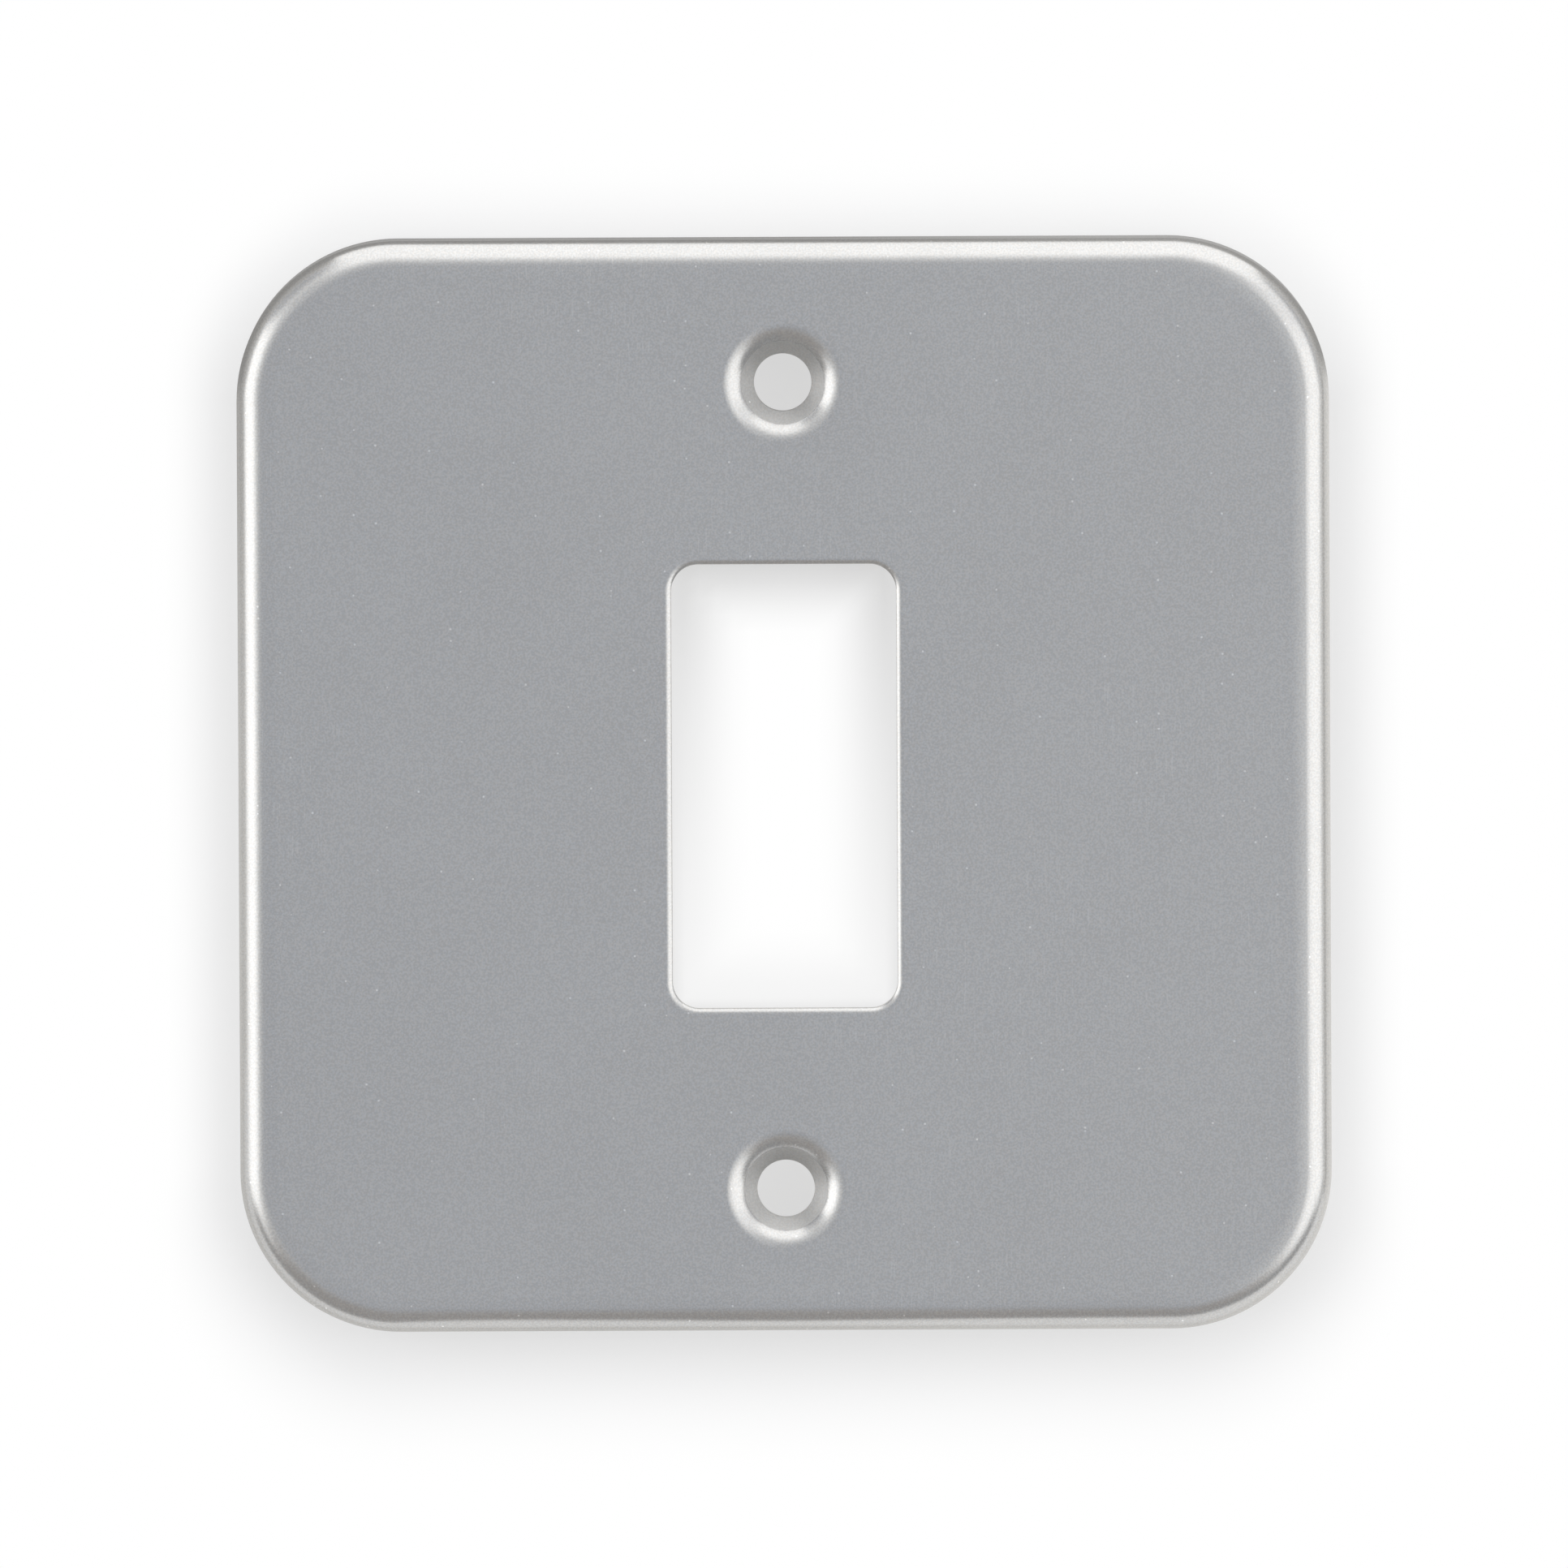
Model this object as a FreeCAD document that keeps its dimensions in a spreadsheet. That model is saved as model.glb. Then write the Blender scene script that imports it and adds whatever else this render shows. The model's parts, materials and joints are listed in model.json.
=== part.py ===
import FreeCAD, Part
import math
import os

import Sketcher

# Front plate of a one-gang metal-clad grid switch, pressed from one sheet of steel.
# Millimetres. The plate lies face up on the rim of its skirt. The origin is the centre
# of that rim, +Z leaves the front face and +Y points to the upper screw hole.

# Driving sizes: millimetres, and degrees for the one angle
SIZES = {
    # Outline and skirt
    "plate_width": 81.6,  # outside of the skirt, left to right
    "end_margin": 10.65,  # screw hole centre to the nearer end of the plate
    "plate_depth": 8.0,  # rim of the skirt to the front face
    "corner_radius": 12.0,  # outside of the skirt, seen from the front
    "sheet_thickness": 1.2,
    "bend_inside_radius": 0.8,  # hollow side of the bend from face to skirt
    "rim_edge_break": 0.2,  # trimmed edge of the skirt, inside and out
    # Screw holes, each at the bottom of a pressed countersink
    "fixing_pitch": 60.3,  # between the two hole centres
    "screw_hole_diameter": 4.3,
    "screw_hole_edge_radius": 0.1,  # front edge, rolled over by the punch
    "countersink_land": 0.05,  # flat ring between that edge and the cone
    "countersink_run": 0.8,  # width of the cone, seen from the front
    "countersink_angle": 90.0,  # whole angle of the cone
    "countersink_inside_radius": 0.8,  # hollow side of the bend from face to cone
    # Aperture for the switch module
    "aperture_width": 16.8,
    "aperture_height": 33.2,
    "aperture_corner_radius": 2.0,
    "aperture_edge_radius": 0.5,  # front edge, rolled over by the punch
}

# Sizes that follow from the driving ones
PLATE_HEIGHT = "Sizes.fixing_pitch + 2 * Sizes.end_margin"
BEND_OUTSIDE_RADIUS = "Sizes.bend_inside_radius + Sizes.sheet_thickness"
COUNTERSINK_OUTSIDE_RADIUS = "Sizes.countersink_inside_radius + Sizes.sheet_thickness"
LAND_RADIUS = (
    "Sizes.screw_hole_diameter / 2 + Sizes.screw_hole_edge_radius + Sizes.countersink_land"
)

# Room that a cutting shape takes past the face it starts from
CUTTER_OVERRUN = 1.0

# Two sizes or levels this close are the same
SAME_SIZE = 1e-4

# Which point of a line or an arc a constraint holds: the sketcher counts them from 1
START, END, CENTRE = range(1, 4)

# The sketch's own origin, as a constraint names it: the start of its level axis
ORIGIN = (-1, START)


# Sheet of sizes

def fill_sheet(doc):
    """Write each driving size in a cell of its own, which has the size's name."""
    sheet = doc.addObject("Spreadsheet::Sheet", "Sizes")
    for row, (name, value) in enumerate(SIZES.items(), start=1):
        sheet.set(f"A{row}", name)
        sheet.set(f"B{row}", str(value))
        sheet.setAlias(f"B{row}", name)
    doc.recompute()
    return sheet


# Sketch helpers

def origin_feature(body, role):
    """The plane or axis of the body's origin that has this role."""
    for feature in body.Origin.OriginFeatures:
        if feature.Role == role:
            return feature
    raise ValueError(f"{body.Label} has no {role}")


def new_sketch(body, role, name):
    """An empty sketch on one of the body's own origin planes."""
    sketch = body.newObject("Sketcher::SketchObject", name)
    sketch.AttachmentSupport = [(origin_feature(body, role), "")]
    sketch.MapMode = "FlatFace"
    return sketch


def tie(sketch, kind, *where):
    """Add a constraint that has no size of its own."""
    return sketch.addConstraint(Sketcher.Constraint(kind, *where))


def drive(sketch, name, expression, kind, *where):
    """Add a dimension, whose last value is its size at first, and tie it to the sizes."""
    sketch.renameConstraint(tie(sketch, kind, *where), name)
    sketch.setExpression(f"Constraints.{name}", expression)


def point(x, y):
    return FreeCAD.Vector(x, y, 0)


def circle(centre, radius):
    return Part.Circle(centre, FreeCAD.Vector(0, 0, 1), radius)


def arc(centre, radius, start_degrees, end_degrees):
    start = math.radians(start_degrees)
    end = math.radians(end_degrees)
    return Part.ArcOfCircle(circle(centre, radius), start, end)


def check_sketch(sketch):
    """Stop if a sketch is left loose, because it would not follow a changed size."""
    if sketch.solve() != 0 or not sketch.FullyConstrained:
        raise ValueError(f"{sketch.Name} is not fully constrained")


def draw_rounded_rectangle(sketch, width, height, radius, expressions):
    """A rectangle about the origin with four equal round corners."""
    right = width / 2
    top = height / 2
    inner_x = right - radius
    inner_y = top - radius
    sides = [
        Part.LineSegment(point(-inner_x, -top), point(inner_x, -top)),
        Part.LineSegment(point(right, -inner_y), point(right, inner_y)),
        Part.LineSegment(point(inner_x, top), point(-inner_x, top)),
        Part.LineSegment(point(-right, inner_y), point(-right, -inner_y)),
    ]
    corners = [
        arc(point(inner_x, -inner_y), radius, 270, 360),
        arc(point(inner_x, inner_y), radius, 0, 90),
        arc(point(-inner_x, inner_y), radius, 90, 180),
        arc(point(-inner_x, -inner_y), radius, 180, 270),
    ]
    sides = sketch.addGeometry(sides, False)
    corners = sketch.addGeometry(corners, False)
    next_sides = sides[1:] + sides[:1]
    for side, corner, next_side in zip(sides, corners, next_sides):
        tie(sketch, "Tangent", side, END, corner, START)
        tie(sketch, "Tangent", corner, END, next_side, START)
    bottom_side, right_side, top_side, left_side = sides
    for side in (bottom_side, top_side):
        tie(sketch, "Horizontal", side)
    for side in (right_side, left_side):
        tie(sketch, "Vertical", side)
    for corner in corners[1:]:
        tie(sketch, "Equal", corners[0], corner)
    tie(sketch, "Symmetric", corners[0], CENTRE, corners[2], CENTRE, *ORIGIN)
    across = ("DistanceX", left_side, START, right_side, START, width)
    drive(sketch, "width", expressions["width"], *across)
    upright = ("DistanceY", bottom_side, START, top_side, START, height)
    drive(sketch, "height", expressions["height"], *upright)
    drive(sketch, "corner_radius", expressions["radius"], "Radius", corners[0], radius)
    check_sketch(sketch)


# Features

def edge_names_at(shape, height, chosen):
    """Names of the level edges at this height that pass the test."""
    names = []
    for number, edge in enumerate(shape.Edges, start=1):
        levels = [vertex.Z for vertex in edge.Vertexes]
        levels.append(edge.CenterOfMass.z)
        if any(abs(level - height) > SAME_SIZE for level in levels):
            continue
        if chosen(edge):
            names.append(f"Edge{number}")
    if not names:
        raise ValueError(f"no edge at height {height}")
    return names


def every_edge(edge):
    return True


def rim_face_name(shape):
    """Name of the flat face that the plate lies on."""
    for number, face in enumerate(shape.Faces, start=1):
        if face.BoundBox.ZMax < SAME_SIZE:
            return f"Face{number}"
    raise ValueError("no face at the rim")


def round_edges(body, name, base, edges, radius):
    """Round the named edges of the feature before."""
    rounding = body.newObject("PartDesign::Fillet", name)
    rounding.Base = (base, edges)
    rounding.setExpression("Radius", radius)
    body.Document.recompute()
    return rounding


def pierce(body, name, sketch, before):
    """Cut the sketch straight through the face, from the rim side upwards."""
    opening = body.newObject("PartDesign::Pocket", name)
    opening.Profile = sketch
    opening.Type = "ThroughAll"
    opening.Reversed = True
    body.Document.recompute()
    check_cut(before, opening)
    return opening


def check_cut(before, after):
    """Stop if a cut points away from the metal, because it then takes nothing."""
    removed = before.Shape.Volume - after.Shape.Volume
    if removed <= 0:
        raise ValueError(f"{after.Name} cut nothing away")
    print(f"{after.Name}: {removed:.2f} mm3 cut away")


# Drawn form: the outside of the plate before the sheet is hollow

def add_drawn_form(body, sizes):
    """A rounded square as deep as the skirt, with the bend round its face."""
    sketch = new_sketch(body, "XY_Plane", "OutlineSketch")
    height = sizes.fixing_pitch + 2 * sizes.end_margin
    expressions = {
        "width": "Sizes.plate_width",
        "height": PLATE_HEIGHT,
        "radius": "Sizes.corner_radius",
    }
    draw_rounded_rectangle(sketch, sizes.plate_width, height, sizes.corner_radius, expressions)
    blank = body.newObject("PartDesign::Pad", "Blank")
    blank.Profile = sketch
    blank.setExpression("Length", "Sizes.plate_depth")
    body.Document.recompute()
    front_edges = edge_names_at(blank.Shape, sizes.plate_depth, every_edge)
    return round_edges(body, "FaceBend", blank, front_edges, BEND_OUTSIDE_RADIUS)


# Pressed countersinks

def land_level(sizes):
    """Height of the flat bottom of a countersink, where its hole is pierced."""
    slope = math.radians(90 - sizes.countersink_angle / 2)
    shoulder = sizes.countersink_inside_radius + sizes.sheet_thickness
    shoulder_drop = shoulder * (1 - math.cos(slope))
    cone_drop = sizes.countersink_run * math.tan(slope)
    return sizes.plate_depth - shoulder_drop - cone_drop


def draw_countersink(sketch, sizes):
    """Half section of the hollow in the face: shoulder, cone and flat bottom."""
    slope = 90 - sizes.countersink_angle / 2
    shoulder = sizes.countersink_inside_radius + sizes.sheet_thickness
    face = sizes.plate_depth
    bottom = land_level(sizes)
    axis_y = sizes.fixing_pitch / 2
    land = sizes.screw_hole_diameter / 2 + sizes.screw_hole_edge_radius + sizes.countersink_land
    cone_top = land + sizes.countersink_run
    mouth = cone_top + shoulder * math.sin(math.radians(slope))
    shoulder_drop = shoulder * (1 - math.cos(math.radians(slope)))

    axis_bottom = point(axis_y, bottom)
    axis_top = point(axis_y, face + CUTTER_OVERRUN)
    lid_end = point(axis_y + mouth, face + CUTTER_OVERRUN)
    mouth_point = point(axis_y + mouth, face)
    bend_centre = point(axis_y + mouth, face - shoulder)
    cone_start = point(axis_y + cone_top, face - shoulder_drop)
    cone_end = point(axis_y + land, bottom)
    outline = [
        Part.LineSegment(axis_bottom, axis_top),
        Part.LineSegment(axis_top, lid_end),
        Part.LineSegment(lid_end, mouth_point),
        arc(bend_centre, shoulder, 90, 90 + slope),
        Part.LineSegment(cone_start, cone_end),
        Part.LineSegment(cone_end, axis_bottom),
    ]
    axis = sketch.addGeometry(Part.LineSegment(axis_bottom, axis_top), True)
    middle, lid, wall, bend, cone, floor = sketch.addGeometry(outline, False)

    joined = [(middle, lid), (lid, wall), (wall, bend), (cone, floor), (floor, middle)]
    for first, second in joined:
        tie(sketch, "Coincident", first, END, second, START)
    tie(sketch, "Tangent", bend, END, cone, START)
    tie(sketch, "Coincident", axis, START, middle, START)
    tie(sketch, "Coincident", axis, END, middle, END)
    for upright in (middle, wall):
        tie(sketch, "Vertical", upright)
    for level in (lid, floor):
        tie(sketch, "Horizontal", level)
    # The bend leaves the face level: its centre is straight below the mouth
    tie(sketch, "Vertical", bend, START, bend, CENTRE)
    tie(sketch, "DistanceY", wall, END, wall, START, CUTTER_OVERRUN)

    to_axis = ("DistanceX", *ORIGIN, middle, START, axis_y)
    drive(sketch, "axis_offset", "Sizes.fixing_pitch / 2", *to_axis)
    to_face = ("DistanceY", *ORIGIN, wall, END, face)
    drive(sketch, "face_level", "Sizes.plate_depth", *to_face)
    drive(sketch, "shoulder_radius", COUNTERSINK_OUTSIDE_RADIUS, "Radius", bend, shoulder)
    ring = ("DistanceX", floor, END, floor, START, land)
    drive(sketch, "land_radius", LAND_RADIUS, *ring)
    run = ("DistanceX", cone, END, cone, START, sizes.countersink_run)
    drive(sketch, "cone_run", "Sizes.countersink_run", *run)
    half_angle = math.radians(sizes.countersink_angle / 2)
    tilt = ("Angle", cone, END, middle, START, half_angle)
    drive(sketch, "half_angle", "Sizes.countersink_angle / 2 * 1 deg", *tilt)
    check_sketch(sketch)


def add_countersinks(body, sizes, form):
    """Turn the upper hollow about its hole's axis and mirror it to the lower hole."""
    sketch = new_sketch(body, "YZ_Plane", "CountersinkSketch")
    draw_countersink(sketch, sizes)
    upper = body.newObject("PartDesign::Groove", "UpperCountersink")
    upper.Profile = sketch
    upper.ReferenceAxis = (sketch, ["Axis0"])
    upper.Angle = 360
    body.Document.recompute()
    check_cut(form, upper)
    both = body.newObject("PartDesign::Mirrored", "BothCountersinks")
    both.Originals = [upper]
    both.MirrorPlane = (origin_feature(body, "XZ_Plane"), [""])
    body.Tip = both
    body.Document.recompute()
    check_cut(upper, both)
    return both


# Sheet: one thickness behind the face, the bends, the skirt and the countersinks

def add_sheet(body, form):
    """Hollow the form from its rim, so that one sheet of metal is left."""
    sheet = body.newObject("PartDesign::Thickness", "SheetMetal")
    sheet.Base = (form, [rim_face_name(form.Shape)])
    sheet.Reversed = True
    sheet.Mode = "Skin"
    sheet.Join = "Arc"
    sheet.setExpression("Value", "Sizes.sheet_thickness")
    body.Document.recompute()
    check_cut(form, sheet)
    return sheet


# Pierced openings

def add_screw_holes(body, sizes, sheet):
    """Pierce both screw holes through the flat bottoms of the countersinks."""
    sketch = new_sketch(body, "XY_Plane", "ScrewHoleSketch")
    offset = sizes.fixing_pitch / 2
    radius = sizes.screw_hole_diameter / 2
    circles = [circle(point(0, offset), radius), circle(point(0, -offset), radius)]
    upper, lower = sketch.addGeometry(circles, False)
    tie(sketch, "Vertical", upper, CENTRE, *ORIGIN)
    tie(sketch, "Symmetric", upper, CENTRE, lower, CENTRE, *ORIGIN)
    tie(sketch, "Equal", upper, lower)
    between = ("DistanceY", lower, CENTRE, upper, CENTRE, sizes.fixing_pitch)
    drive(sketch, "pitch", "Sizes.fixing_pitch", *between)
    bore = ("Diameter", upper, sizes.screw_hole_diameter)
    drive(sketch, "bore", "Sizes.screw_hole_diameter", *bore)
    check_sketch(sketch)
    holes = pierce(body, "ScrewHoles", sketch, sheet)

    def is_hole_edge(edge):
        return abs(edge.Curve.Radius - radius) < SAME_SIZE

    hole_edges = edge_names_at(holes.Shape, land_level(sizes), is_hole_edge)
    edge_radius = "Sizes.screw_hole_edge_radius"
    return round_edges(body, "ScrewHoleEdges", holes, hole_edges, edge_radius)


def add_aperture(body, sizes, plate_with_holes):
    """Pierce the opening for the switch module and roll its front edge over."""
    sketch = new_sketch(body, "XY_Plane", "ApertureSketch")
    width = sizes.aperture_width
    height = sizes.aperture_height
    radius = sizes.aperture_corner_radius
    expressions = {
        "width": "Sizes.aperture_width",
        "height": "Sizes.aperture_height",
        "radius": "Sizes.aperture_corner_radius",
    }
    draw_rounded_rectangle(sketch, width, height, radius, expressions)
    aperture = pierce(body, "Aperture", sketch, plate_with_holes)

    def is_aperture_edge(edge):
        middle = edge.CenterOfMass
        across = abs(middle.x) < width / 2 + SAME_SIZE
        upright = abs(middle.y) < height / 2 + SAME_SIZE
        return across and upright

    front_edges = edge_names_at(aperture.Shape, sizes.plate_depth, is_aperture_edge)
    edge_radius = "Sizes.aperture_edge_radius"
    return round_edges(body, "ApertureEdge", aperture, front_edges, edge_radius)


# Trimmed rim

def add_rim_edges(body, pierced):
    """Break the trimmed edges of the skirt, inside and out."""
    rim = body.newObject("PartDesign::Chamfer", "RimEdges")
    rim.Base = (pierced, edge_names_at(pierced.Shape, 0, every_edge))
    rim.setExpression("Size", "Sizes.rim_edge_break")
    body.Document.recompute()
    check_cut(pierced, rim)
    return rim


# The plate

def make_plate(doc, sizes):
    """Draw the form, press the countersinks, hollow the sheet and pierce it."""
    body = doc.addObject("PartDesign::Body", "grid_plate")
    body.Label = "grid_plate"
    body.Placement = FreeCAD.Placement()
    form = add_drawn_form(body, sizes)
    form = add_countersinks(body, sizes, form)
    sheet = add_sheet(body, form)
    pierced = add_screw_holes(body, sizes, sheet)
    pierced = add_aperture(body, sizes, pierced)
    body.Tip = add_rim_edges(body, pierced)
    doc.recompute()
    return body


def check_document(doc):
    """Stop if any feature failed, because a failed one raises nothing itself."""
    for item in doc.Objects:
        if "Invalid" in item.State or "Error" in item.State:
            raise ValueError(f"{item.Name} failed: {item.State}")


def export_piece(body):
    """Write the piece under its own name, once it is one sound solid."""
    shape = body.Shape
    if shape.isNull() or not shape.isValid() or len(shape.Solids) != 1:
        raise ValueError(f"{body.Label} is not one valid solid")
    shape.exportStep(f"parts/{body.Label}.step")
    box = shape.optimalBoundingBox(False, False)
    size = f"{box.XLength:.2f} x {box.YLength:.2f} x {box.ZLength:.2f} mm"
    print(f"{body.Label}: {size}, {shape.Volume:.1f} mm3")


os.makedirs("parts", exist_ok=True)
document = FreeCAD.newDocument("GridSwitchPlate")
size_sheet = fill_sheet(document)
plate = make_plate(document, size_sheet)
check_document(document)
export_piece(plate)
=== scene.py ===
# %% [markdown]
# # A pressed steel front plate for one grid switch
#
# The real plate starts as a flat blank of steel, 1.2 mm thick. A press draws its four
# sides down into a skirt, sinks two countersinks into its face for the screws, and
# punches the two screw holes and the tall opening that a switch module looks out of.
#
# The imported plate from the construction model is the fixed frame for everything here.
# It has the right sizes, but its bends are cut into flat strips, and satin metal shows
# each strip in its highlights. So this lesson models the same pressing again with
# finer bends, gives it its finish, and sets up the studio that metal needs round it.

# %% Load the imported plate
import json
import math
from collections import namedtuple

import bmesh
import bpy
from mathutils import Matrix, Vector
from mathutils.geometry import delaunay_2d_cdt


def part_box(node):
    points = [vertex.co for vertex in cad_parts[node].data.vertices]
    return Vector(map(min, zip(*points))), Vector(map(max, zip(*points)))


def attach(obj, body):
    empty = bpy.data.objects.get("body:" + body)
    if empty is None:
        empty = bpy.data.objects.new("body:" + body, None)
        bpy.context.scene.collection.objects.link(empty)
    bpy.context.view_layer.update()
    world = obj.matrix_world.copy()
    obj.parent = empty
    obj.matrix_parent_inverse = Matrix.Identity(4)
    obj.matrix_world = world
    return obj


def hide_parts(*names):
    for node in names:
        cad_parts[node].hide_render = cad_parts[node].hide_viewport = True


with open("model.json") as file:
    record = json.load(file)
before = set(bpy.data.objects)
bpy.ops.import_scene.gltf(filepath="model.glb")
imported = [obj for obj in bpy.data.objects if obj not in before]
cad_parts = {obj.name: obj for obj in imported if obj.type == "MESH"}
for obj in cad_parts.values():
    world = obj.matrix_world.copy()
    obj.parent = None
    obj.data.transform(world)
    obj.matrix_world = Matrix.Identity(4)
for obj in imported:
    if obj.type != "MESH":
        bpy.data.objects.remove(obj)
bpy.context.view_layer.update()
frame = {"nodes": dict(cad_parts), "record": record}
plate_low, plate_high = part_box("grid_plate")
MM = 0.001
print("packed plate:", [round(size / MM, 2) for size in plate_high - plate_low], "mm")

# %% [markdown]
# ## Sizes of the pressing
#
# The outline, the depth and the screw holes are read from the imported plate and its
# record, so they can't drift away from it. The other sizes are the press tool's own:
# its radii and the thickness of the sheet. They are written once here, in metres.

# %% Sizes
HALF_WIDTH = plate_high.x
HALF_HEIGHT = plate_high.y
FACE = plate_high.z
RIM = plate_low.z
CORNER_RADIUS = 12.0 * MM
SHEET = 1.2 * MM
BEND_INSIDE = 0.8 * MM
BEND_OUTSIDE = BEND_INSIDE + SHEET
RIM_EDGE = 0.2 * MM
BACK_OF_FACE = FACE - SHEET

screw_holes = frame["record"]["mounts"][0]
HOLE_PITCH = screw_holes["dims"]["spacing_y_mm"] * MM
HOLE_RADIUS = screw_holes["dims"]["hole_r_mm"] * MM
HOLE_EDGE = 0.1 * MM
LAND_WIDTH = 0.05 * MM
CONE_WIDTH = 0.8 * MM
CONE_TILT = 45.0

APERTURE_WIDTH = 16.8 * MM
APERTURE_HEIGHT = 33.2 * MM
APERTURE_CORNER = 2.0 * MM
APERTURE_EDGE = 0.5 * MM
SHEARED_EDGE = 0.06 * MM
print("screw holes:", round(HOLE_PITCH / MM, 2), "mm apart")

# %% [markdown]
# ## Tracks and sections
#
# Every curved part of a pressing is one section carried round one track: the bend
# runs round the outline, the punched edge runs round the opening, and a countersink
# is a section turned about its hole. A screw modifier could turn the countersinks and
# a bevel could round the outline, but neither gives exact normals where a bend runs
# into a flat face, and that join is where satin metal shows every fault.
#
# So a track here is a list of places, each with the direction that leads outwards
# from it, and a section is a list of stations. A station says how far out the surface
# lies, how high, and how its normal tilts: 0 looks straight up and 90 straight out.

# %% Tracks
Place = namedtuple("Place", "x y out_x out_y")
Station = namedtuple("Station", "out height tilt finish")
SATIN, SHEARED, RUBBED = 0, 1, 2


def round_track(x, y, steps):
    """Places round one point: how far out a station lies is then its radius."""
    turns = [math.tau * step / steps for step in range(steps)]
    return [Place(x, y, math.cos(turn), math.sin(turn)) for turn in turns]


def rounded_track(half_width, half_height, radius, corner_steps, longest_step):
    """Places round a rectangle with round corners, once round, anticlockwise."""
    track = []
    inner = (half_width - radius, half_height - radius)
    for quarter, (side_x, side_y) in enumerate([(1, 1), (-1, 1), (-1, -1), (1, -1)]):
        centre = (side_x * inner[0], side_y * inner[1])
        for step in range(corner_steps + 1):
            turn = math.radians(90) * (quarter + step / corner_steps)
            out_x, out_y = math.cos(turn), math.sin(turn)
            track.append(Place(centre[0] + radius * out_x, centre[1] + radius * out_y, out_x, out_y))
        side_length = 2 * inner[quarter % 2]
        side_steps = math.ceil(side_length / longest_step)
        for step in range(1, side_steps):
            gone = side_length * step / side_steps
            last = track[-step]
            track.append(Place(last.x - gone * last.out_y, last.y + gone * last.out_x, out_x, out_y))
    return track


# %% Sections
def bend(centre_out, centre_height, radius, tilts, steps, finish=SATIN, hollow=False):
    """Stations along an arc. A hollow arc has its normals towards its centre."""
    first, last = tilts
    reach = -radius if hollow else radius
    stations = []
    for step in range(steps + 1):
        tilt = first + (last - first) * step / steps
        out = centre_out + reach * math.sin(math.radians(tilt))
        height = centre_height + reach * math.cos(math.radians(tilt))
        stations.append(Station(out, height, tilt, finish))
    return stations


def straight(start, end_out, end_height, steps, finish=SATIN):
    """Stations along a straight wall that goes on from a station, at its tilt."""
    stations = []
    for step in range(1, steps + 1):
        share = step / steps
        out = start.out + (end_out - start.out) * share
        height = start.height + (end_height - start.height) * share
        stations.append(Station(out, height, start.tilt, finish))
    return stations


# %% [markdown]
# ## The skin
#
# The skin collects points, normals and faces. Each station makes one ring of points
# round the track, and neighbouring rings are joined by four-sided faces. The normal
# of each point follows from its station's tilt, so it is exact however wide the
# faces are. That keeps the flat face perfectly flat to the eye right up to the bend.

# %% A skin of rings
class Skin:
    """The points, normals and faces of one closed surface."""

    def __init__(self):
        self.points = []
        self.normals = []
        self.faces = []
        self.finishes = []

    def add_point(self, point, normal):
        self.points.append(point)
        self.normals.append(normal)
        return len(self.points) - 1

    def add_face(self, corners, finish):
        self.faces.append(corners)
        self.finishes.append(finish)


def add_ring(skin, track, station):
    """One ring of points round the track, at the station's place in the section."""
    level = math.sin(math.radians(station.tilt))
    upward = math.cos(math.radians(station.tilt))
    ring = []
    for place in track:
        x = place.x + station.out * place.out_x
        y = place.y + station.out * place.out_y
        normal = (level * place.out_x, level * place.out_y, upward)
        ring.append(skin.add_point((x, y, station.height), normal))
    return ring


def sweep(skin, track, stations):
    """Carry the section round the track and give back its first and last rings."""
    rings = [add_ring(skin, track, station) for station in stations]
    for before, after, station in zip(rings, rings[1:], stations[1:]):
        for here in range(len(track)):
            last = here - 1
            skin.add_face((before[last], before[here], after[here], after[last]), station.finish)
    return rings[0], rings[-1]


skin = Skin()

# %% [markdown]
# ## Bend, skirt and rim
#
# The section of the border starts where the flat face ends. It goes over the outer
# bend, down the skirt, round the trimmed rim that the plate lies on, back up inside
# the skirt and through the inner bend, to the back of the face. The inner bend has
# the same centre as the outer one and is one sheet smaller, as in any folded sheet.
# The rim is where the press trimmed the skirt, so its edges are a little rounded.
#
# Sheet metal never starts a bend all at once. Over the last millimetre of the face
# the tilt grows evenly from nothing to 4 degrees, and only then the round bend takes
# over. Without it, the highlight of the bend would end in a hard line on the face.

# %% Bends that start softly
EASE_TILT = 4.0
EASE_LENGTH = 1.04 * MM
EASE_STEPS = 8
# The eased stretch drops this much more than the same part of a plain arc would
EASE_DROP = (EASE_LENGTH * math.radians(EASE_TILT) / 2
             - BEND_OUTSIDE * (1 - math.cos(math.radians(EASE_TILT))))


def eased(arc_start):
    """Stations from the flat face to the start of an arc, with a tilt that grows evenly."""
    stations = []
    for step in range(EASE_STEPS):
        gone = step / EASE_STEPS
        tilt = EASE_TILT * gone
        out = arc_start.out - EASE_LENGTH * (1 - gone)
        height = FACE - EASE_LENGTH * math.radians(EASE_TILT) * gone * gone / 2
        stations.append(Station(out, height, tilt, SATIN))
    return stations


# %% Border
OUTLINE_CORNER_STEPS = 28
OUTLINE_LONGEST = 1.9 * MM
BEND_STEPS = 18
INNER_BEND_STEPS = 9
BEND_CENTRE_HEIGHT = FACE - BEND_OUTSIDE
OUTER_CENTRE_HEIGHT = BEND_CENTRE_HEIGHT - EASE_DROP
SKIRT_STEPS = 4
EDGE_STEPS = 3

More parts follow.
